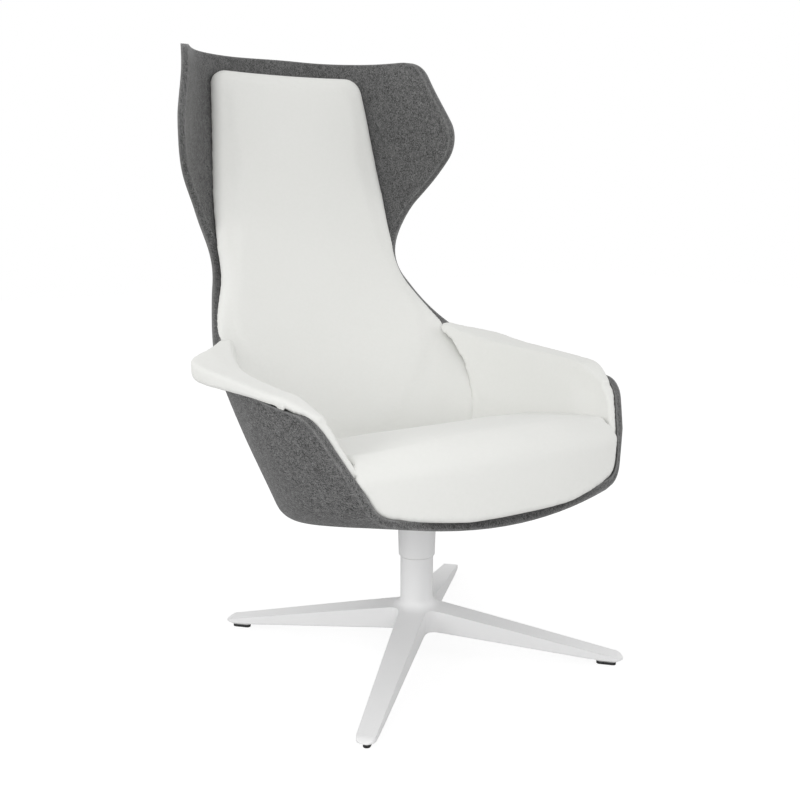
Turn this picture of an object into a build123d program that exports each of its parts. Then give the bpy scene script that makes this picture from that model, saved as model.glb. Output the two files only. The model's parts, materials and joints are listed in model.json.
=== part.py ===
from build123d import *
import math
import os

# Swivel wing lounge chair: felt shell, upholstered pads, swivel and star base.
# Millimetres, +Z up, floor at z = 0, swivel axis on Z, the sitter looks along -Y.
# Shell, pads and boards are drawn in a seat frame that leans back by seat_tilt.

os.makedirs("parts", exist_ok=True)

# Driving dimensions of the shell
seat_tilt = 8.5
seat_height = 273.0
overall_height = 1084.0
felt = 13.0
pan_corner = 52.0
front_reach = 315.0
front_bow_radius = 560.0

# Outer face of the shell at evenly spaced heights, right half from the middle of the back:
# back, back quarter, corner, rear of the side, side, front end (past the cut edge).
shell_levels = {
    -120: [(0, 218), (84, 204), (146, 145), (186, 55), (204, -160), (180, -345)],
    50: [(0, 279), (99, 265), (190, 196), (242, 84), (256, -157), (238, -346)],
    220: [(0, 339), (121, 325), (231, 237), (297, 102), (318, -128), (302, -346)],
    390: [(0, 374), (138, 369), (258, 281), (327, 120), (354, -80), (343, -305)],
    560: [(0, 391), (112, 388), (188, 372), (267, 292), (324, 172), (366, -75)],
    730: [(0, 405), (136, 401), (197, 367), (286, 237), (326, 172), (373, 115)],
    900: [(0, 417), (141, 411), (207, 378), (297, 239), (338, 171), (370, 105)],
}
curve_steps = 24

# Underside of the seat pan at three depths: height in the middle, rise at pan_half_width
pan_half_width = 240.0
pan_levels = {-450: (13, 48), 0: (-22, 22), 450: (-44, 14)}

# Side outline of the shell's cut edge: (y, z, corner radius)
wing_top = (266, 60)
wing_tip = (209, 686, 75)
waist = (385, 505, 135)
arm_rear = (246, 281, 330)
arm_front = (-211, 191, 65)
front_foot = (-324, -80)

# Driving dimensions of the pads
soft_gap = 0.3
rim_show = 3.0
pad_top = 839.0
pad_corner = 34.0
pad_half_top = 163.0
pad_side = [(201, 490), (203, 440), (217, 385), (242, 325), (272, 270), (330, 150)]
pad_edge = 14.0
arm_panel = 22.0
arm_ledge = 25.0
arm_low = 102.0
arm_edge = 6.0
cushion_setback = 5.0
cushion_nose = 55.0
cushion_edge = 5.0

# Driving dimensions of the boards in the pads
backing = 5.0
back_board_width = 200.0
back_board_low = 390.0
back_board_top = 800.0
back_board_corner = 30.0
back_board_gap = 4.0
arm_board_low = 140.0
arm_board_inset = 22.0
seat_board_thickness = 8.0
seat_board_width = 360.0
seat_board_front = -255.0
seat_board_rear = 110.0
seat_board_corner = 45.0

# Front face of the back pad at evenly spaced heights: y in the middle, y at 240 to the side
pad_face = {
    20: (150, 95),
    190: (212, 145),
    360: (295, 272),
    530: (338, 332),
    700: (356, 346),
    870: (372, 362),
}
# Seam between back pad and arm pad, side view
arm_seam = [(112, -70), (120, 100), (150, 205), (223, 300)]
# Top of the arm ledge, side view, and its outer edge in plan
ledge_top = [(250, 330), (188, 298), (101, 270), (-30, 245), (-135, 221), (-215, 186)]
ledge_plan = [(252, 232), (304, 188), (333, 158), (339, 101)]
ledge_plan += [(329, -30), (322, -115), (306, -168), (283, -206)]
# Top of the seat cushion at evenly spaced depths: height in the middle, height at 240 to the side
cushion_top = {-450: (141, 141), -225: (143, 139), 0: (128, 136), 225: (93, 113), 450: (60, 80)}

# Driving dimensions of the swivel
spindle_diameter = 28.0
spindle_head_diameter = 56.0
bush_diameter = 40.0
bush_flange = 4.0
bush_length = 30.0
washer_thickness = 3.0
column_diameter = 59.0
column_top = 212.0
collar_top_diameter = 70.0
collar_low_diameter = 65.0
collar_low = 173.0
collar_chamfer = 3.0
plate_thickness = 5.0
plate_width = 200.0
plate_corner = 22.0
bolt_spacing = 140.0
bolt_diameter = 8.0
running_gap = 0.05
free_gap = 0.3

# Driving dimensions of the star base
glide_circle = 342.0
leg_reach = 371.0
leg_hub_top = 81.0
leg_hub_low = 42.0
leg_tip_top = 22.0
leg_tip_low = 13.0
leg_hub_width = 50.0
leg_tip_width = 31.0
leg_root_radius = 18.0
leg_inner_radius = 20.0
leg_nose = 18.0
tip_bevel = 12.0
hub_pocket_diameter = 48.0
hub_pocket_top = 76.0
cap_thickness = 3.0
glide_length = 34.0
glide_width = 12.0
glide_height = 5.0
glide_stem_diameter = 8.0
glide_stem_length = 11.0

seat_frame = Location((0, 0, seat_height), (-seat_tilt, 0, 0))
leg_turns = [Location((0, 0, 0), (0, 0, 45 + 90 * k)) for k in range(4)]


def section(height, inset):
    """Outline of the shell at one height, moved inwards by inset."""
    right = shell_levels[height]
    left = [(-x, y) for x, y in reversed(right[1:])]
    guide = Edge.make_spline([Vector(x, y, height) for x, y in left + right])
    steps = [i / curve_steps for i in range(curve_steps + 1)]
    points = []
    for step in steps:
        along = guide.tangent_at(step)
        inward = Vector(along.Y, -along.X, 0)
        points.append(guide.position_at(step) + inward * inset)
    return Edge.make_spline(points, parameters=steps)


def walls(inset):
    """Solid inside the shell's side walls, moved inwards by inset."""
    wires = []
    for height in shell_levels:
        curve = section(height, inset)
        wires.append(Wire([curve, Edge.make_line(curve @ 1, curve @ 0)]))
    return Solid.make_loft(wires)


def loft_along_y(stations, lift, far):
    """Solid between a curved sheet, given as (middle, side) heights at depths y, and the height far."""
    wires = []
    half = 2 * pan_half_width
    for y, (middle, side) in stations.items():
        edge_height = middle + (side - middle) * (half / pan_half_width) ** 2
        left = Vector(-half, y, edge_height + lift)
        right = Vector(half, y, edge_height + lift)
        arc = Edge.make_spline([left, Vector(0, y, middle + lift), right])
        rest = Wire.make_polygon([right, Vector(half, y, far), Vector(-half, y, far), left], close=False)
        wires.append(Wire([arc] + rest.edges()))
    return Solid.make_loft(wires)


def above_pan(lift):
    """Everything above the pan's underside raised by lift."""
    sheet = {y: (middle, middle + rise) for y, (middle, rise) in pan_levels.items()}
    return loft_along_y(sheet, lift, 1300)


def tub(inset, corner):
    """Solid inside the whole shell face, moved inwards by inset, with its rounded pan edge."""
    body = walls(inset) & above_pan(inset)
    rim = [e for e in body.edges() if e.bounding_box().max.Z < 200 and e.bounding_box().max.Y > 100]
    return body.fillet(corner, rim)


def prism_x(corners, half_width):
    """Side outline given as (y, z, radius) corners, drawn out both ways along X."""
    wire = Wire.make_polygon([Vector(0, y, z) for y, z, r in corners])
    for y, z, r in corners:
        if r:
            vertex = min(wire.vertices(), key=lambda v: (Vector(v) - Vector(0, y, z)).length)
            wire = wire.fillet_2d(r, [vertex])
    return Solid.extrude(Face(wire), Vector(2 * half_width, 0, 0)).moved(Location((-half_width, 0, 0)))


def top_line(y):
    """Height in the seat frame of the level top edge at depth y."""
    rise = (overall_height - seat_height) / math.cos(math.radians(seat_tilt))
    return rise + y * math.tan(math.radians(seat_tilt))


def bow(setback):
    """Upright cylinder whose front is the bowed front edge of the seat."""
    middle = Plane(origin=(0, front_bow_radius - front_reach, -300))
    return Solid.make_cylinder(front_bow_radius - setback, 1600, middle)


def rim_prism():
    """Side outline of the shell's cut edge."""
    rear = 520
    outline = [
        (rear, -120, 0),
        (rear, top_line(rear), 0),
        (wing_top[0], top_line(wing_top[0]), wing_top[1]),
        wing_tip,
        waist,
        arm_rear,
        arm_front,
        front_foot + (0,),
    ]
    return prism_x(outline, 500)


def back_pad_face():
    """Everything in front of the back pad's front face."""
    wires = []
    half = 420
    for height, (middle, side) in pad_face.items():
        end = middle + (side - middle) * (half / 240) ** 2
        left, right = Vector(-half, end, height), Vector(half, end, height)
        arc = Edge.make_spline([left, Vector(0, middle, height), right])
        front = [right, Vector(half, -900, height), Vector(-half, -900, height), left]
        wires.append(Wire([arc] + Wire.make_polygon(front, close=False).edges()))
    return Solid.make_loft(wires)


def seam_prism():
    """Everything behind the seam between back pad and arm pads."""
    seam = Edge.make_spline([Vector(0, y, z) for y, z in arm_seam])
    low, high = arm_seam[0], arm_seam[-1]
    rest = [(high[0], high[1]), (high[0], 960), (600, 960), (600, low[1]), low]
    wire = Wire([seam] + Wire.make_polygon([Vector(0, y, z) for y, z in rest], close=False).edges())
    return Solid.extrude(Face(wire), Vector(1200, 0, 0)).moved(Location((-600, 0, 0)))


def pad_prism(inset):
    """Front outline of the back pad, drawn through in depth, drawn in by inset."""
    top = pad_top - inset
    sides = [[(sign * (x - inset), z) for x, z in pad_side] for sign in (-1, 1)]
    curves = [Edge.make_spline([Vector(x, 700, z) for x, z in side]) for side in sides]
    low = pad_side[-1][1] - 250
    ends = [Vector(curve @ 1).X for curve in curves]
    half = pad_half_top - inset
    upper = [curves[0] @ 0, Vector(-half, 700, top), Vector(half, 700, top), curves[1] @ 0]
    under = [curves[1] @ 1, Vector(ends[1], 700, low), Vector(ends[0], 700, low), curves[0] @ 1]
    head = Wire.make_polygon(upper, close=False)
    foot = Wire.make_polygon(under, close=False)
    wire = Wire(curves + head.edges() + foot.edges())
    corners = [v for v in wire.vertices() if v.Z > top - 1]
    wire = wire.fillet_2d(pad_corner, corners)
    return Solid.extrude(Face(wire), Vector(0, -1000, 0))


def ledge_band():
    """Side view of the arm ledge: a band of even thickness under its top curve, drawn along X."""
    top = Edge.make_spline([Vector(0, y, z) for y, z in ledge_top])
    low = Edge.make_spline([Vector(0, y, z - arm_ledge) for y, z in ledge_top])
    ends = [Edge.make_line(top @ 0, low @ 0), Edge.make_line(top @ 1, low @ 1)]
    return Solid.extrude(Face(Wire([top, low] + ends)), Vector(600, 0, 0))


def ledge_outline():
    """Plan view of the left arm ledge, from the shell's inside to its outer edge."""
    outer = Edge.make_spline([Vector(x, y, -100) for x, y in ledge_plan])
    inside = [ledge_plan[-1], (150, ledge_plan[-1][1]), (150, ledge_plan[0][1]), ledge_plan[0]]
    rest = Wire.make_polygon([Vector(x, y, -100) for x, y in inside], close=False)
    return Solid.extrude(Face(Wire([outer] + rest.edges())), Vector(0, 0, 700))


def arm_lining(thickness, shift, low):
    """Left arm pad's panel inside the shell: thickness from the felt, front edge moved by shift."""
    inside = tub(felt + thickness, pan_corner - felt - thickness)
    panel = (shell_inner & rim.moved(Location((0, rim_show + shift, 0)))) - inside
    above = Solid.make_box(600, 1200, 900, Plane(origin=(20, -700, low)))
    return one((panel & above) - behind_seam)


def back_board_block(depth):
    """Flat board behind the upper back, drawn back by depth from its front face."""
    levels = [back_board_low, max(shell_levels)]
    low_y, high_y = [shell_levels[level][0][1] for level in levels]
    lean = (high_y - low_y) / (levels[1] - levels[0])
    half, length = back_board_width / 2, back_board_top - back_board_low
    corners = [Vector(-half, 0, 0), Vector(half, 0, 0), Vector(half, 0, length), Vector(-half, 0, length)]
    wire = Wire.make_polygon(corners)
    wire = wire.fillet_2d(back_board_corner, wire.vertices())
    front_y = low_y - felt - back_board_gap - backing
    place = Location((0, front_y, back_board_low), (-math.degrees(math.atan(lean)), 0, 0))
    return Solid.extrude(Face(wire), Vector(0, depth, 0)).moved(place)


def seat_board_prism(grow):
    """Upright prism over the seat board's outline, widened by grow."""
    half = seat_board_width / 2 + grow
    return rounded_prism(-half, half, seat_board_front - grow, seat_board_rear + grow, seat_board_corner)


def cushion_nose_body():
    """Everything inside the cushion's bowed front with its rounded nose."""
    reach = front_bow_radius - cushion_setback
    top = max(middle for middle, side in cushion_top.values()) + 3
    nose = Edge.make_three_point_arc(
        Vector(reach, 0, top - cushion_nose),
        Vector(reach - cushion_nose * (1 - math.sqrt(0.5)), 0, top - cushion_nose * (1 - math.sqrt(0.5))),
        Vector(reach - cushion_nose, 0, top),
    )
    rest = [(reach - cushion_nose, top), (0, top), (0, -150), (reach, -150), (reach, top - cushion_nose)]
    profile = Wire([nose] + Wire.make_polygon([Vector(r, 0, z) for r, z in rest], close=False).edges())
    body = Solid.revolve(Face(profile), 360, Axis.Z)
    return body.moved(Location((0, front_bow_radius - front_reach, 0)))


def on_pan(x, y, lift):
    """Place on the pan's underside raised by lift, square to the pan."""
    stations = list(pan_levels)
    (m0, r0), (m1, r1), (m2, r2) = pan_levels.values()
    span = stations[2] - stations[1]
    height = m1 + (m2 - m0) / 2 * y / span + (m0 - 2 * m1 + m2) / 2 * (y / span) ** 2
    rise = r1 + (r2 - r0) / 2 * y / span
    fall = (m2 - m0) / 2 / span
    lean = 2 * x * rise / pan_half_width**2
    height += rise * (x / pan_half_width) ** 2
    return Location((x, y, height + lift), (math.degrees(math.atan(fall)), -math.degrees(math.atan(lean)), 0))


def rounded_prism(x0, x1, y0, y1, radius):
    """Upright prism over a rectangle with rounded corners."""
    wire = Wire.make_polygon([Vector(x, y, -200) for x, y in ((x0, y0), (x1, y0), (x1, y1), (x0, y1))])
    wire = wire.fillet_2d(radius, wire.vertices())
    return Solid.extrude(Face(wire), Vector(0, 0, 500))


def disc(diameter, low, high):
    return Solid.make_cylinder(diameter / 2, high - low, Plane(origin=(0, 0, low)))


def ring(outer, inner, low, high):
    return disc(outer, low, high) - disc(inner, low - 1, high + 1)


def star_plan():
    """Plan of the star base: tapering legs with round tips and rounded inner corners."""
    tip = leg_tip_width / 2
    taper = (leg_hub_width - leg_tip_width) / 2 / (leg_reach - tip)
    corner = leg_hub_width / 2 / (1 + taper)
    near = [Vector(corner, -corner, 0), Vector(leg_reach - tip, -tip, 0)]
    far = [Vector(leg_reach - tip, tip, 0), Vector(corner, corner, 0)]
    round_tip = Edge.make_three_point_arc(near[1], Vector(leg_reach, 0, 0), far[0])
    one_leg = [Edge.make_line(*near), round_tip, Edge.make_line(*far)]
    wire = Wire([edge.moved(turn) for turn in leg_turns for edge in one_leg])
    inner = [v for v in wire.vertices() if Vector(v).length < 2 * corner]
    return Solid.extrude(Face(wire.fillet_2d(leg_inner_radius, inner)), Vector(0, 0, column_top))


def star_profile():
    """Side view of leg and column turned about the column axis."""
    column = column_diameter / 2
    slope = (leg_hub_top - leg_tip_top) / (glide_circle - column)
    nose = leg_reach - leg_nose
    tip = Vector(leg_reach, 0, leg_tip_low)
    back = Vector(nose, 0, leg_tip_top - slope * (nose - glide_circle))
    over = (tip + back) / 2 + Vector(1, 0, 2.5).normalized() * (leg_nose / 10)
    root = Vector(column, 0, leg_hub_top)
    boss = Vector(glide_circle - glide_length / 2 - tip_bevel, 0, leg_tip_low)
    top = Vector(0, 0, column_top)
    upper = Wire.make_polygon([back, root, Vector(column, 0, column_top), top], close=False)
    lower = Wire.make_polygon([top, Vector(0, 0, leg_hub_low), boss, tip], close=False)
    wire = Wire([Edge.make_three_point_arc(tip, over, back)] + upper.edges() + lower.edges())
    inner = min(wire.vertices(), key=lambda v: (Vector(v) - root).length)
    return Solid.revolve(Face(wire.fillet_2d(leg_root_radius, [inner])), 360, Axis.Z)


def long_hole(length, width, height):
    """Outline with half-round ends at one height, under the leg along +X."""
    half, radius = (length - width) / 2, width / 2
    a, b = Vector(-half, -radius, height), Vector(half, -radius, height)
    c, d = Vector(half, radius, height), Vector(-half, radius, height)
    outline = Wire(
        [
            Edge.make_line(a, b),
            Edge.make_three_point_arc(b, Vector(length / 2, 0, height), c),
            Edge.make_line(c, d),
            Edge.make_three_point_arc(d, Vector(-length / 2, 0, height), a),
        ]
    )
    return outline.moved(Location((glide_circle, 0, 0)))


def leg_boss():
    """Foot of a leg along +X, narrowing down to its glide."""
    low = long_hole(glide_length, glide_width, glide_height)
    top = long_hole(glide_length + 2 * tip_bevel, glide_width + 2 * tip_bevel, leg_tip_low)
    return Solid.make_loft([low, top], True)


def glide():
    """Glide with its stem, under the leg along +X."""
    body = Solid.extrude(Face(long_hole(glide_length, glide_width, 0)), Vector(0, 0, glide_height))
    stem = disc(glide_stem_diameter, glide_height - 1, glide_height + glide_stem_length)
    return body.fuse(stem.moved(Location((glide_circle, 0, 0))))


def bolt():
    """Plate bolt with its head below the plate, standing on the pan."""
    low = -plate_thickness - 1.0
    shank = disc(bolt_diameter, low - 0.5, felt + seat_board_thickness - 1.0)
    return shank.fuse(disc(1.6 * bolt_diameter, low - 5.0, low))


def tee_nut():
    """Nut with a flange sunk flush in the seat board."""
    top = felt + seat_board_thickness
    barrel = disc(1.4 * bolt_diameter, top - 7.0, top)
    nut = barrel.fuse(disc(2.4 * bolt_diameter, top - 1.6, top))
    return nut - disc(bolt_diameter, top - 10.0, top + 1.0)


def one(shape):
    """The largest solid of a result."""
    return max(shape.solids(), key=lambda s: s.volume)


def write(name, shape):
    export_step(shape, f"parts/{name}.step")


# Felt shell
rim = rim_prism()
shell_trim = rim & bow(0)
shell_inner = tub(felt, pan_corner - felt)
felt_shell = one((tub(0, pan_corner) & shell_trim) - shell_inner)

# Back pad and its flat backing board
behind_seam = seam_prism()
pad_front = back_pad_face()
back_pad = one((shell_inner & behind_seam & pad_prism(0)) - pad_front)
front_face = max(back_pad.faces(), key=lambda f: -f.normal_at().Y * f.area)
back_pad = back_pad.fillet(pad_edge, [e for e in front_face.edges() if (e @ 0.5).Z > pad_side[-2][1]])
back_board = back_board_block(backing)
back_pad = one(back_pad - back_board_block(backing + pan_corner))

# Arm pads and their backing boards
outside = tub(felt + arm_panel, pan_corner - felt - arm_panel)
ledge = one((ledge_band() & ledge_outline()) - outside - behind_seam)
arm_board = one(arm_lining(backing, arm_board_inset, arm_board_low))
arm_pad = one(arm_lining(arm_panel, 0, arm_low).fuse(ledge) - felt_shell)
arm_pad = arm_pad.fillet(arm_edge, arm_pad.edges().sort_by(SortBy.LENGTH)[-3:])
arm_pad = one(arm_pad - arm_board)
arm_pads = {"left": arm_pad, "right": arm_pad.mirror(Plane.YZ)}
arm_boards = {"left": arm_board, "right": arm_board.mirror(Plane.YZ)}

# Seat board and seat cushion
floor_top = felt + seat_board_thickness
seat_board = one((above_pan(felt) - above_pan(floor_top)) & shell_inner & seat_board_prism(0))
narrow = tub(felt + arm_panel + soft_gap, pan_corner - felt - arm_panel - soft_gap)
over_arm_low = Solid.make_box(1200, 1600, 1200, Plane(origin=(-600, -800, arm_low - soft_gap)))
behind_arm_edge = rim.moved(Location((0, rim_show - soft_gap, 0)))
wide = tub(felt + 2, pan_corner - felt - 2) - (behind_arm_edge & over_arm_low)
cushion = narrow.fuse(wide) & above_pan(felt + soft_gap) & cushion_nose_body()
cushion = one(cushion & loft_along_y(cushion_top, 0, -400) & pad_front.moved(Location((0, -soft_gap, 0))))
top_face = max(cushion.faces(), key=lambda f: f.normal_at().Z * f.area)
side_edges = sorted(top_face.edges(), key=lambda e: abs((e @ 0.5).X))[-2:]
cushion = cushion.fillet(cushion_edge, side_edges)
seat_cushion = one(cushion - (seat_board_prism(soft_gap) - above_pan(floor_top + soft_gap)))

# Plate, bolts and nuts under and in the pan, set in place before their holes are cut
half = bolt_spacing / 2
bolt_places = [seat_frame * on_pan(x, y, 0) for x in (-half, half) for y in (-half, half)]
bolts = [bolt().moved(place) for place in bolt_places]
nuts = [tee_nut().moved(place) for place in bolt_places]
top_plate = (above_pan(-plate_thickness) - above_pan(0)) & rounded_prism(
    -plate_width / 2, plate_width / 2, -plate_width / 2, plate_width / 2, plate_corner
)
felt_shell = one((seat_frame * felt_shell).cut(*bolts))
top_plate = one((seat_frame * one(top_plate)).cut(*bolts))
seat_board = one((seat_frame * seat_board).cut(*bolts, *nuts))

# Swivel, drawn upright on the column axis
above_plate = seat_frame * above_pan(-plate_thickness)
flange_top = column_top + bush_flange
shoulder = flange_top + washer_thickness
spindle_low = hub_pocket_top - 16.0
spindle = disc(spindle_diameter, spindle_low, shoulder + 1).fuse(disc(spindle_head_diameter, shoulder, 320))
spindle = one(spindle - above_plate)
clip_top = hub_pocket_top - bush_flange - free_gap - washer_thickness
spindle = one(spindle - ring(spindle_diameter + 4, spindle_diameter - 3, clip_top - 2, clip_top))
bore = spindle_diameter + 2 * running_gap
upper_bush = ring(bush_diameter, bore, column_top - bush_length, column_top).fuse(
    ring(column_diameter - 5, bore, column_top, flange_top)
)
lower_bush = ring(bush_diameter, bore, hub_pocket_top, hub_pocket_top + bush_length).fuse(
    ring(hub_pocket_diameter - 2, bore, hub_pocket_top - bush_flange, hub_pocket_top)
)
thrust_washer = ring(spindle_head_diameter - 4, bore + 0.5, flange_top, shoulder)
retaining_washer = ring(hub_pocket_diameter - 4, spindle_diameter, clip_top, clip_top + washer_thickness)
slot = Solid.make_box(30, 8, 4, Plane(origin=(0, -4, clip_top - 3)))
circlip = one(ring(spindle_diameter + 6, spindle_diameter - 3, clip_top - 2, clip_top) - slot)
collar_place = Plane(origin=(0, 0, collar_low))
collar_height = seat_height - collar_low
collar = Solid.make_cone(collar_low_diameter / 2, collar_top_diameter / 2, collar_height, collar_place)
collar = collar.chamfer(collar_chamfer, None, [collar.edges().sort_by(Axis.Z)[0]])
collar = one(collar - disc(column_diameter + 2, collar_low - 1, 300) - above_plate)

# Star base, its cap and glides
plan = star_plan()
star_base = one(plan & star_profile())
for turn in leg_turns:
    star_base = star_base.fuse(one(leg_boss().moved(turn) & plan))
glides = [glide().moved(turn) for turn in leg_turns]
hollows = [disc(bush_diameter, 0, column_top + 1), disc(hub_pocket_diameter, 0, hub_pocket_top)]
star_base = one(star_base.cut(*hollows, *glides))
hub_cap = disc(hub_pocket_diameter, leg_hub_low, leg_hub_low + cap_thickness)

# Files, one per node
write("felt_shell", felt_shell)
write("back_pad", seat_frame * back_pad)
write("back_board", seat_frame * back_board)
for side in ("left", "right"):
    write(f"arm_pad_{side}", seat_frame * arm_pads[side])
    write(f"arm_board_{side}", seat_frame * arm_boards[side])
write("seat_cushion", seat_frame * seat_cushion)
write("seat_board", seat_board)
write("top_plate", top_plate)
write("plate_bolts", Compound(bolts))
write("tee_nuts", Compound(nuts))
write("spindle", spindle)
write("collar", collar)
write("retaining_washer", retaining_washer)
write("circlip", circlip)
write("thrust_washer", thrust_washer)
write("upper_bush", upper_bush)
write("lower_bush", lower_bush)
write("star_base", star_base)
write("hub_cap", hub_cap)
for name, item in zip(("rear_left", "rear_right", "front_right", "front_left"), glides):
    write(f"glide_{name}", item)
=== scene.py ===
import json
import math

import bpy
import numpy as np
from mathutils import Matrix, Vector
from mathutils.bvhtree import BVHTree
from mathutils.kdtree import KDTree


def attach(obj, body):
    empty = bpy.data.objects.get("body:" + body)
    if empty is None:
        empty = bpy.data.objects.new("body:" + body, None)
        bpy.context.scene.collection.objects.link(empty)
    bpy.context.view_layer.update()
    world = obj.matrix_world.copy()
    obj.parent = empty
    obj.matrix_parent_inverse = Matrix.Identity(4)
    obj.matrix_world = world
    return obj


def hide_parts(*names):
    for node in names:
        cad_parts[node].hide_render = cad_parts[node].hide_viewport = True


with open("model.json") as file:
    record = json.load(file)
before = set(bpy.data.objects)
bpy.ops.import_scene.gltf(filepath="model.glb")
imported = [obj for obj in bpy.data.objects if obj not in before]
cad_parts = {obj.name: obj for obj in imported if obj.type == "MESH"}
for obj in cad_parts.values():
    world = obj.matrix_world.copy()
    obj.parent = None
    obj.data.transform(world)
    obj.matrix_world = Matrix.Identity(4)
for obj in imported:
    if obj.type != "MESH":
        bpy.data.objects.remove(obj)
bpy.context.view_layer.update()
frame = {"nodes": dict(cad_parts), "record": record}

# Swivel wing lounge chair: felt shell, white upholstered pads, white star base.
# Metres, +Z up, floor at z = 0, the chair faces -Y.

nodes = frame["nodes"]
scene = bpy.context.scene


def grey(level):
    """Neutral linear colour."""
    return (level, level, level, 1)


# Camera: angles in degrees, lens and sensor in millimetres
camera_place = (-0.9052, -1.3954, 0.7989)
camera_pitch = 11.585
camera_heading = -31.929
camera_lens = 43.72
camera_sensor = 36.0

# Studio light: strength of the white surroundings, then square lamps with their power in watts
world_level = 0.67
lamps = {
    "front": dict(place=(-1.3, -2.6, 1.5), aim=(0, 0.1, 0.5), size=1.8, power=22),
    "side": dict(place=(-2.8, 0.35, 1.6), aim=(0, 0.2, 0.7), size=1.0, power=15),
    "low": dict(place=(-2.4, -1.4, 0.6), aim=(0, 0.0, 0.3), size=1.6, power=10),
    "right": dict(place=(2.6, -1.6, 1.6), aim=(0, 0.1, 0.5), size=2.0, power=17),
    "top": dict(place=(0.3, 0.2, 3.4), aim=(0, 0.1, 0.5), size=2.6, power=8),
    "rear": dict(place=(-1.2, 2.3, 2.1), aim=(-0.3, 0.3, 0.9), size=0.9, power=8),
}

# Floor: glow and shade as the camera sees it, and the shade that throws light back
floor_size = 14
floor_glow = 0.85
floor_shade = grey(0.24)
floor_bounce = grey(0.65)

# Colours, linear
black = grey(0)
white = grey(1)
felt_deep = grey(0.031)
felt_grey = grey(0.069)
felt_dark = grey(0.008)
# Pale felt: colour of the pale fibres, and also of the painted highlight on the cut edges
felt_fibre_and_highlight = (0.300, 0.300, 0.298, 1)
# Painted shade: the felt is darkened to this in corners and near the pads
felt_corner_shade = grey(0.62)
cloth_shade = (0.745, 0.748, 0.722, 1)
cloth_white = (0.760, 0.762, 0.738, 1)
cloth_bright = (0.775, 0.776, 0.756, 1)
coat_white = grey(0.840)
coat_bright = grey(0.855)
zinc_dark = (0.48, 0.48, 0.49, 1)
zinc_light = (0.66, 0.66, 0.67, 1)
bearing_dark = (0.66, 0.65, 0.60, 1)
bearing_light = (0.72, 0.71, 0.66, 1)
plastic_dark = grey(0.012)
plastic_light = grey(0.022)
birch_dark = (0.50, 0.34, 0.20, 1)
birch_light = (0.64, 0.48, 0.31, 1)

# Rays that rounded edges and shaded corners take
bevel_samples = 6
corner_samples = 8

# Soft pieces: rounds of smoothing, growth, pressure and most movement of the swelling, fill
soft_pieces = {
    "back_pad": dict(rounds=3, growth=0.0025, pressure=3.0, cap=0.005, fill=0.8),
    "seat_cushion": dict(rounds=4, growth=0.0025, pressure=4.0, cap=0.004, fill=0.8),
    "arm_pad_left": dict(rounds=1, growth=0.001, pressure=2.0, cap=0.002, fill=0.9),
    "arm_pad_right": dict(rounds=1, growth=0.001, pressure=2.0, cap=0.002, fill=0.9),
}
voxel = 0.004
step_rounds = 4
smooth_factor = 0.5

# Swelling: points nearer to a neighbour than the reach are held
sim_voxel = 0.009
sim_frames = 14
sim_quality = 5
sim_mass = 0.3
hold_reach = 0.006
even_rounds = 12
puff_points = 6
puff_blur = 0.001
least_move = 1e-6

# The fine shapes below are moves of points. Each band is the stretch over which a move sets in or ends.
# Arm lining: thinned towards the arms' slanted front edges, below and inside of the ledge
arm_front_y = -0.151
arm_front_z = 0.50
arm_front_slope = 0.844
arm_taper = 0.07
arm_thinning = 0.5
lining_top_band = (0.445, 0.512)
lip_band = (0.304, 0.316)

# Ledge: lower edge of its lip, which climbs to the rear, then its front and rear corners
lip_bottom = 0.4945
lip_climb = 0.063
lip_rise = 0.006
lip_front_y = -0.12
lip_rear_y = 0.16
lip_under_band = (0.0025, 0.022)
front_fill = 0.005
front_corner_y = -0.11
front_corner_reach = 0.035
front_corner_band = (0.488, 0.503)
corner_fall = 0.003
corner_back = 0.010
corner_out_band = (0.285, 0.33)
corner_rear_band = (0.07, 0.17)

# Cushion: fall of its top, and extra width where the arm lining thins; heights are over the pan
seat_lean = math.radians(8.5)
pan_height = 0.273
side_fall = 0.008
side_fall_band = (0.10, 0.22)
rear_fall = 0.015
rear_fall_band = (-0.06, 0.05)
fall_height_band = (0.08, 0.13)
side_fill = 0.007
fill_start_band = (0.005, 0.03)
fill_end_band = (0.03, arm_taper)
fill_out_band = (0.14, 0.22)
fill_height_band = (0.09, 0.12)

# Back pad: wider foot, drawn-in waist, higher top
back_fill = 0.006
waist_draw = 0.005
top_lift = 0.003
foot_band = (0.555, 0.64)
waist_low_band = (0.60, 0.66)
waist_high_band = (0.70, 0.82)
back_side_band = (0.13, 0.18)
back_top_band = (0.90, 0.99)


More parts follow.
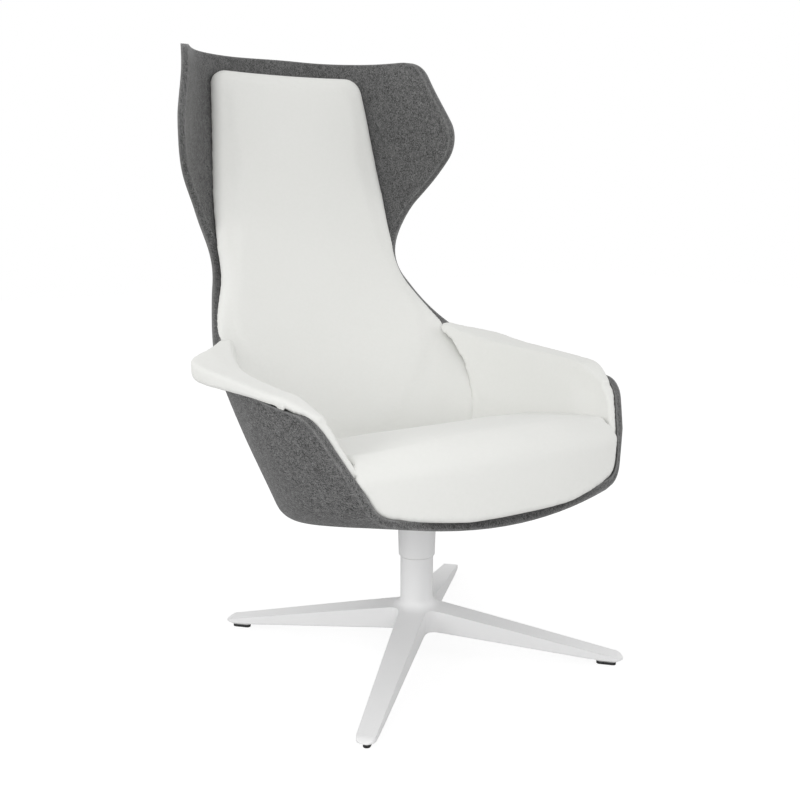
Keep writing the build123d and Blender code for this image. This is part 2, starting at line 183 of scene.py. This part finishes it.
class Nodes:
    """Small helper that builds the node tree of one material."""

    def __init__(self, name):
        self.material = bpy.data.materials.new(name)
        self.material.use_nodes = True
        self.tree = self.material.node_tree
        self.shader = self.tree.nodes["Principled BSDF"]
        self.place = self.add("ShaderNodeTexCoord").outputs["Object"]

    def add(self, kind, **values):
        node = self.tree.nodes.new(kind)
        for key, value in values.items():
            setattr(node, key, value)
        return node

    def link(self, source, target):
        self.tree.links.new(source, target)

    def put(self, value, socket):
        """Sets a socket to a number or a colour, or links it to another socket."""
        if isinstance(value, (int, float, tuple)):
            socket.default_value = value
        else:
            self.link(value, socket)

    def noise(self, scale, detail=2.0, rough=0.5, warp=0.0, turn=(0, 0, 0), stretch=None):
        node = self.add("ShaderNodeTexNoise")
        node.inputs["Scale"].default_value = scale
        node.inputs["Detail"].default_value = detail
        node.inputs["Roughness"].default_value = rough
        node.inputs["Distortion"].default_value = warp
        place = self.place
        if stretch:
            mapping = self.add("ShaderNodeMapping")
            mapping.inputs["Rotation"].default_value = turn
            mapping.inputs["Scale"].default_value = stretch
            self.link(place, mapping.inputs["Vector"])
            place = mapping.outputs["Vector"]
        self.link(place, node.inputs["Vector"])
        return node.outputs["Fac"]

    def bands(self, scale, axis, warp, detail=2.0):
        node = self.add("ShaderNodeTexWave", bands_direction=axis)
        node.inputs["Scale"].default_value = scale
        node.inputs["Distortion"].default_value = warp
        node.inputs["Detail"].default_value = detail
        self.link(self.place, node.inputs["Vector"])
        return node.outputs["Fac"]

    def ramp(self, source, low, high, start=black, end=white):
        node = self.add("ShaderNodeValToRGB")
        first, last = node.color_ramp.elements
        first.position = low
        first.color = start
        last.position = high
        last.color = end
        self.link(source, node.inputs["Fac"])
        return node.outputs["Color"]

    def mix(self, factor, first, second, kind="MIX"):
        node = self.add("ShaderNodeMix", data_type="RGBA", blend_type=kind)
        first_colour, second_colour = [socket for socket in node.inputs if socket.type == "RGBA"]
        self.put(factor, node.inputs["Factor"])
        self.put(first, first_colour)
        self.put(second, second_colour)
        return [socket for socket in node.outputs if socket.type == "RGBA"][0]

    def maths(self, kind, first, second=0.0):
        node = self.add("ShaderNodeMath", operation=kind)
        self.put(first, node.inputs[0])
        self.put(second, node.inputs[1])
        return node.outputs["Value"]

    def share(self, source, part):
        return self.maths("MULTIPLY", source, part)

    def rounded(self, radius):
        """Normal that runs smoothly over the edges."""
        node = self.add("ShaderNodeBevel", samples=bevel_samples)
        node.inputs["Radius"].default_value = radius
        return node.outputs["Normal"]

    def bump(self, height, strength, distance, edge=0.0):
        node = self.add("ShaderNodeBump")
        if edge:
            self.link(self.rounded(edge), node.inputs["Normal"])
        node.inputs["Strength"].default_value = strength
        node.inputs["Distance"].default_value = distance
        self.link(height, node.inputs["Height"])
        self.link(node.outputs["Normal"], self.shader.inputs["Normal"])

    def near_edges(self, reach):
        """1 on sharp edges, falling to 0 at the given distance from them."""
        flat = self.add("ShaderNodeNewGeometry")
        turn = self.add("ShaderNodeVectorMath", operation="DOT_PRODUCT")
        self.link(self.rounded(reach), turn.inputs[0])
        self.link(flat.outputs["True Normal"], turn.inputs[1])
        return self.ramp(turn.outputs["Value"], low=0.80, high=0.99, start=white, end=black)

    def openness(self, reach):
        """1 in the open, less in corners within the given distance."""
        node = self.add("ShaderNodeAmbientOcclusion", samples=corner_samples)
        node.inputs["Distance"].default_value = reach
        return node.outputs["AO"]

    def set(self, **values):
        for key, value in values.items():
            self.put(value, self.shader.inputs[key.replace("_", " ")])
        return self.material


def grey_felt():
    """Pressed felt: dark grey, short pale and dark fibres, painted highlight on the cut edges, painted
    shade in corners.
    """
    look = Nodes("grey_felt")
    cloud = look.ramp(look.noise(scale=60, detail=3, rough=0.6), low=0.35, high=0.65)
    speck = look.ramp(look.noise(scale=470, detail=3, rough=0.7, warp=0.4), low=0.40, high=0.60)
    colour = look.mix(cloud, felt_deep, felt_grey)
    darker = look.mix(0.9, colour, felt_dark)
    colour = look.mix(speck, darker, colour)
    height = speck
    for turn in (0.0, 0.8, 1.6, 2.4):
        strand = look.noise(scale=310, warp=1.5, turn=(turn, turn * 0.7, turn), stretch=(1.0, 0.22, 0.5))
        from_middle = look.maths("ABSOLUTE", look.maths("SUBTRACT", strand, 0.5))
        fibre = look.ramp(from_middle, low=0.0, high=0.035, start=white, end=black)
        colour = look.mix(look.share(fibre, 0.5), colour, felt_fibre_and_highlight)
        height = look.mix(0.5, height, fibre)
    # Painted highlight: the felt is made paler along its cut edges, as if they caught the light
    edge_highlight = look.near_edges(reach=0.009)
    colour = look.mix(look.share(edge_highlight, 0.5), colour, felt_fibre_and_highlight)
    # Painted shade: the felt is darkened in corners and near the pads, where less light reaches
    shade = look.ramp(look.openness(reach=0.12), low=0.35, high=0.95, start=felt_corner_shade, end=white)
    colour = look.mix(1.0, colour, shade, "MULTIPLY")
    look.bump(height, strength=0.3, distance=0.0010, edge=0.0012)
    return look.set(
        Base_Color=colour,
        Roughness=0.5,
        Specular_IOR_Level=0.2,
        Sheen_Weight=0.08,
        Sheen_Roughness=0.3,
    )


def white_cloth():
    """Fine close-woven cover cloth."""
    look = Nodes("white_upholstery")
    warp = look.bands(scale=420, axis="X", warp=1.2)
    weft = look.bands(scale=420, axis="Z", warp=1.2)
    weave = look.mix(0.5, warp, weft)
    slub = look.ramp(look.noise(scale=160, detail=3, rough=0.6), low=0.3, high=0.7)
    patch = look.ramp(look.noise(scale=9), low=0.3, high=0.7)
    colour = look.mix(slub, cloth_shade, cloth_white)
    colour = look.mix(look.share(patch, 0.25), colour, cloth_bright)
    look.bump(look.mix(0.35, weave, slub), strength=0.12, distance=0.0004)
    return look.set(
        Base_Color=colour,
        Roughness=0.82,
        Specular_IOR_Level=0.3,
        Sheen_Weight=0.12,
        Sheen_Roughness=0.4,
    )


def white_coat():
    """Powder coat: fine even pebble, satin."""
    look = Nodes("white_powder_coat")
    pebble = look.noise(scale=950)
    patch = look.ramp(look.noise(scale=14), low=0.3, high=0.7)
    look.bump(pebble, strength=0.10, distance=0.0003, edge=0.0025)
    return look.set(
        Base_Color=look.mix(patch, coat_white, coat_bright),
        Roughness=look.maths("ADD", look.share(pebble, 0.16), 0.36),
    )


def zinc_steel():
    """Bright zinc plate with faint rolling lines."""
    look = Nodes("zinc_steel")
    lines = look.noise(scale=300, rough=0.6, stretch=(1.0, 0.05, 1.0))
    look.bump(lines, strength=0.08, distance=0.0002)
    return look.set(
        Base_Color=look.mix(lines, zinc_dark, zinc_light),
        Metallic=1.0,
        Roughness=look.maths("ADD", look.share(lines, 0.2), 0.28),
    )


def plastic(name, dark, light, roughness):
    """Moulded plastic with a light grained surface."""
    look = Nodes(name)
    grain = look.noise(scale=700)
    look.bump(grain, strength=0.08, distance=0.0003)
    return look.set(Base_Color=look.mix(grain, dark, light), Roughness=roughness)


def plywood():
    """Birch plywood: long pale grain."""
    look = Nodes("plywood")
    grain = look.noise(scale=60, detail=4, rough=0.6, warp=0.4, stretch=(1.0, 0.06, 1.0))
    look.bump(grain, strength=0.1, distance=0.0004)
    return look.set(Base_Color=look.mix(grain, birch_dark, birch_light), Roughness=0.65)


finishes = {
    "grey_felt": grey_felt(),
    "white_upholstery": white_cloth(),
    "white_powder_coat": white_coat(),
    "zinc_steel": zinc_steel(),
    "bearing_plastic": plastic("bearing_plastic", bearing_dark, bearing_light, roughness=0.45),
    "black_plastic": plastic("black_plastic", plastic_dark, plastic_light, roughness=0.42),
    "plywood": plywood(),
}
for subpart in frame["record"]["subparts"]:
    mesh = nodes[subpart["node"]].data
    mesh.materials.clear()
    mesh.materials.append(finishes[subpart["material_slot"]])


def bake(piece):
    """Applies the modifiers of a piece at the current frame."""
    graph = bpy.context.evaluated_depsgraph_get()
    shaped = bpy.data.meshes.new_from_object(piece.evaluated_get(graph))
    piece.modifiers.clear()
    piece.data = shaped


def tree_of(node):
    """Search tree of a CAD node's faces."""
    mesh = nodes[node].data
    places = [vertex.co for vertex in mesh.vertices]
    return BVHTree.FromPolygons(places, [polygon.vertices for polygon in mesh.polygons])


def places_of(piece):
    """Places of a piece's points, one row each."""
    return np.array([vertex.co[:] for vertex in piece.data.vertices])


def even_copy(node, name, size):
    """Copy of a soft CAD node with even facets of one size."""
    piece = bpy.data.objects.new(name, nodes[node].data.copy())
    scene.collection.objects.link(piece)
    remesh = piece.modifiers.new("even", "REMESH")
    remesh.mode = "VOXEL"
    remesh.voxel_size = size
    bake(piece)
    return piece


def smooth(piece, name, rounds):
    """Adds rounds of smoothing to a piece."""
    modifier = piece.modifiers.new(name, "SMOOTH")
    modifier.factor = smooth_factor
    modifier.iterations = rounds


def soften(piece, node, rounds, growth):
    """Lays the even points on the CAD faces, rounds the edges and grows the piece a little."""
    pattern = bpy.data.objects.new("pattern_" + node, nodes[node].data)
    scene.collection.objects.link(pattern)
    smooth(piece, "steps", step_rounds)
    lay = piece.modifiers.new("lay", "SHRINKWRAP")
    lay.target = pattern
    smooth(piece, "edges", rounds)
    grow = piece.modifiers.new("grow", "DISPLACE")
    grow.strength = growth
    grow.mid_level = 0.0
    bake(piece)
    bpy.data.objects.remove(pattern)


def hold(piece, neighbours):
    """Vertex group of the points that lie at a neighbour."""
    group = piece.vertex_groups.new(name="held")
    for vertex in piece.data.vertices:
        gap = min(tree.find_nearest(vertex.co)[3] for tree in neighbours)
        group.add([vertex.index], 1.0 if gap < hold_reach else 0.0, "REPLACE")
    return group.name


def evened(piece, moves):
    """Movements averaged with their neighbours', so that the swelling has no creases."""
    edges = np.array([edge.vertices[:] for edge in piece.data.edges])
    count = np.bincount(edges.ravel(), minlength=len(moves))[:, None]
    for step in range(even_rounds):
        total = np.zeros_like(moves)
        np.add.at(total, edges[:, 0], moves[edges[:, 1]])
        np.add.at(total, edges[:, 1], moves[edges[:, 0]])
        moves = (moves + total / count) / 2
    return moves


def swell(node, neighbours, pressure, cap):
    """Places and movements of a coarse copy that a cloth simulation swells, held at its neighbours."""
    piece = even_copy(node, "swell_" + node, sim_voxel)
    before = places_of(piece)
    held = hold(piece, neighbours)
    cloth = piece.modifiers.new("swell", "CLOTH")
    settings = cloth.settings
    settings.quality = sim_quality
    settings.mass = sim_mass
    settings.use_pressure = True
    settings.uniform_pressure_force = pressure
    settings.vertex_group_mass = held
    settings.effector_weights.gravity = 0.0
    cloth.collision_settings.use_collision = False
    cloth.point_cache.frame_start = 1
    cloth.point_cache.frame_end = sim_frames
    for step in range(1, sim_frames + 1):
        scene.frame_set(step)
    bake(piece)
    scene.frame_set(1)
    moves = evened(piece, places_of(piece) - before)
    length = np.linalg.norm(moves, axis=1, keepdims=True)
    moves *= np.minimum(1.0, cap / np.maximum(length, least_move))
    bpy.data.objects.remove(piece)
    return before, moves


def puff(piece, places, moves):
    """Moves each point of a piece as the swollen points around it moved."""
    tree = KDTree(len(places))
    for index, place in enumerate(places):
        tree.insert(place, index)
    tree.balance()
    for vertex in piece.data.vertices:
        around = tree.find_n(vertex.co, puff_points)
        shares = np.array([1 / (gap + puff_blur) for place, index, gap in around])
        near = moves[[index for place, index, gap in around]]
        vertex.co += Vector((near * shares[:, None]).sum(0) / shares.sum())


def ease(value, band):
    """0 below a band, 1 above it, smooth between."""
    low, high = band
    share = min(1.0, max(0.0, (value - low) / (high - low)))
    return share * share * (3 - 2 * share)


def fade(value, band):
    """1 below a band, 0 above it, smooth between."""
    return 1 - ease(value, band)


def behind_arm_front(place):
    """Distance behind the arms' slanted front edges."""
    along = place.y - arm_front_y + (arm_front_z - place.z) * arm_front_slope
    return along / math.hypot(1, arm_front_slope)


def above_pan(place):
    """Height over the seat pan's middle, square to the leaning seat."""
    return place.y * math.sin(seat_lean) + (place.z - pan_height) * math.cos(seat_lean)


def thin_arm_front(piece, felt):
    """Thins the arm lining towards its front edge."""
    for vertex in piece.data.vertices:
        near = fade(behind_arm_front(vertex.co), (0.0, arm_taper))
        near *= fade(vertex.co.z, lining_top_band) * fade(abs(vertex.co.x), lip_band)
        if near > 0:
            to_felt = felt.find_nearest(vertex.co)[0].x - vertex.co.x
            vertex.co.x += to_felt * arm_thinning * near


def trim_ledge(piece):
    """Levels the lower edge of the ledge's lip, fills its front corner and lets its rear corner fall."""
    for vertex in piece.data.vertices:
        x, y, z = vertex.co
        climb = lip_climb * min(lip_rear_y, max(lip_front_y, y))
        under = fade(z - lip_bottom - climb, lip_under_band) * ease(abs(x), lip_band)
        from_front = (y - front_corner_y) / front_corner_reach
        front = math.exp(-(from_front ** 2)) * ease(z, front_corner_band)
        corner = ease(abs(x), corner_out_band) * ease(y, corner_rear_band)
        vertex.co.z += (lip_rise - climb) * under + front_fill * front - corner_fall * corner
        vertex.co.y += corner_back * corner


def crown_cushion(piece):
    """Lets the cushion's top fall to the sides and the rear, and widens it at the thinned lining."""
    for vertex in piece.data.vertices:
        side = abs(vertex.co.x)
        height = above_pan(vertex.co)
        behind = behind_arm_front(vertex.co)
        fall = max(side_fall * ease(side, side_fall_band), rear_fall * ease(vertex.co.y, rear_fall_band))
        wider = side_fill * ease(behind, fill_start_band) * fade(behind, fill_end_band)
        wider *= ease(side, fill_out_band) * ease(height, fill_height_band)
        vertex.co.z -= fall * ease(height, fall_height_band)
        vertex.co.x += math.copysign(wider, vertex.co.x)


def shape_back(piece):
    """Brings the foot of the back pad out to the edge of the felt, its waist in from it and its top up."""
    for vertex in piece.data.vertices:
        x, y, z = vertex.co
        foot = fade(z, foot_band)
        waist = ease(z, waist_low_band) * fade(z, waist_high_band)
        out = (back_fill * foot - waist_draw * waist) * ease(abs(x), back_side_band)
        vertex.co.x += out * math.copysign(1, x)
        vertex.co.z += top_lift * ease(z, back_top_band)


def finish_soft(piece, node):
    """Gives the piece cloth and smooth shading, hides its CAD node and attaches it to the seat body."""
    piece.data.materials.clear()
    piece.data.materials.append(finishes["white_upholstery"])
    for polygon in piece.data.polygons:
        polygon.use_smooth = True
    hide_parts(node)
    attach(piece, "seat")


felt_tree = tree_of("felt_shell")
board_tree = tree_of("seat_board")
soft_trees = {node: tree_of(node) for node in soft_pieces}
for node, make in soft_pieces.items():
    neighbours = [felt_tree, board_tree]
    neighbours += [tree for other, tree in soft_trees.items() if other != node]
    piece = even_copy(node, "soft_" + node, voxel)
    soften(piece, node, make["rounds"], make["growth"])
    puff(piece, *swell(node, neighbours, make["pressure"], make["cap"]))
    if node == "back_pad":
        shape_back(piece)
    if node == "seat_cushion":
        crown_cushion(piece)
    if node.startswith("arm_pad"):
        thin_arm_front(piece, felt_tree)
        trim_ledge(piece)
    finish_soft(piece, node)


def seen_directly(tree):
    """Socket that is 1 where the camera, a reflection or clear material shows the surroundings."""
    path = tree.nodes.new("ShaderNodeLightPath")
    seen = path.outputs["Is Camera Ray"]
    for ray in ("Is Glossy Ray", "Is Transmission Ray"):
        larger = tree.nodes.new("ShaderNodeMath")
        larger.operation = "MAXIMUM"
        tree.links.new(seen, larger.inputs[0])
        tree.links.new(path.outputs[ray], larger.inputs[1])
        seen = larger.outputs["Value"]
    return seen


def pale_floor():
    """White floor that shows the shadow to the camera and throws back plain light."""
    ground = bpy.data.materials.new("pale_floor")
    ground.use_nodes = True
    tree = ground.node_tree
    tree.nodes.clear()
    glow = tree.nodes.new("ShaderNodeEmission")
    glow.inputs["Strength"].default_value = floor_glow
    shaded = tree.nodes.new("ShaderNodeBsdfDiffuse")
    shaded.inputs["Color"].default_value = floor_shade
    shown = tree.nodes.new("ShaderNodeAddShader")
    tree.links.new(glow.outputs[0], shown.inputs[0])
    tree.links.new(shaded.outputs[0], shown.inputs[1])
    plain = tree.nodes.new("ShaderNodeBsdfDiffuse")
    plain.inputs["Color"].default_value = floor_bounce
    path = tree.nodes.new("ShaderNodeLightPath")
    mix = tree.nodes.new("ShaderNodeMixShader")
    tree.links.new(path.outputs["Is Camera Ray"], mix.inputs[0])
    tree.links.new(plain.outputs[0], mix.inputs[1])
    tree.links.new(shown.outputs[0], mix.inputs[2])
    out = tree.nodes.new("ShaderNodeOutputMaterial")
    tree.links.new(mix.outputs[0], out.inputs["Surface"])
    return ground


def lay_floor():
    """Plain floor under the glides."""
    bpy.ops.mesh.primitive_plane_add(size=floor_size, location=(0, 0, 0))
    floor = bpy.context.object
    floor.name = "floor"
    floor.data.materials.append(pale_floor())


def light_world():
    """White surroundings: full white where they are seen, the world level where they give light."""
    world = bpy.data.worlds.new("studio")
    world.use_nodes = True
    scene.world = world
    tree = world.node_tree
    background = tree.nodes["Background"]
    background.inputs["Color"].default_value = white
    level = tree.nodes.new("ShaderNodeMapRange")
    level.inputs["To Min"].default_value = world_level
    level.inputs["To Max"].default_value = 1.0
    tree.links.new(seen_directly(tree), level.inputs["Value"])
    tree.links.new(level.outputs["Result"], background.inputs["Strength"])


def hang_lamp(name, place, aim, size, power):
    """Soft square lamp that faces its aim."""
    lamp = bpy.data.lights.new(name, "AREA")
    lamp.size = size
    lamp.energy = power
    holder = bpy.data.objects.new(name, lamp)
    scene.collection.objects.link(holder)
    holder.location = place
    holder.rotation_euler = (Vector(aim) - Vector(place)).to_track_quat("-Z", "Y").to_euler()


def set_camera():
    """Camera fitted to the photograph."""
    lens = bpy.data.cameras.new("camera")
    lens.lens = camera_lens
    lens.sensor_width = camera_sensor
    holder = bpy.data.objects.new("camera", lens)
    scene.collection.objects.link(holder)
    holder.location = camera_place
    holder.rotation_euler = (math.radians(90 - camera_pitch), 0, math.radians(camera_heading))
    scene.camera = holder


lay_floor()
light_world()
for name, lamp in lamps.items():
    hang_lamp(name, **lamp)
set_camera()
scene.view_settings.view_transform = "Standard"
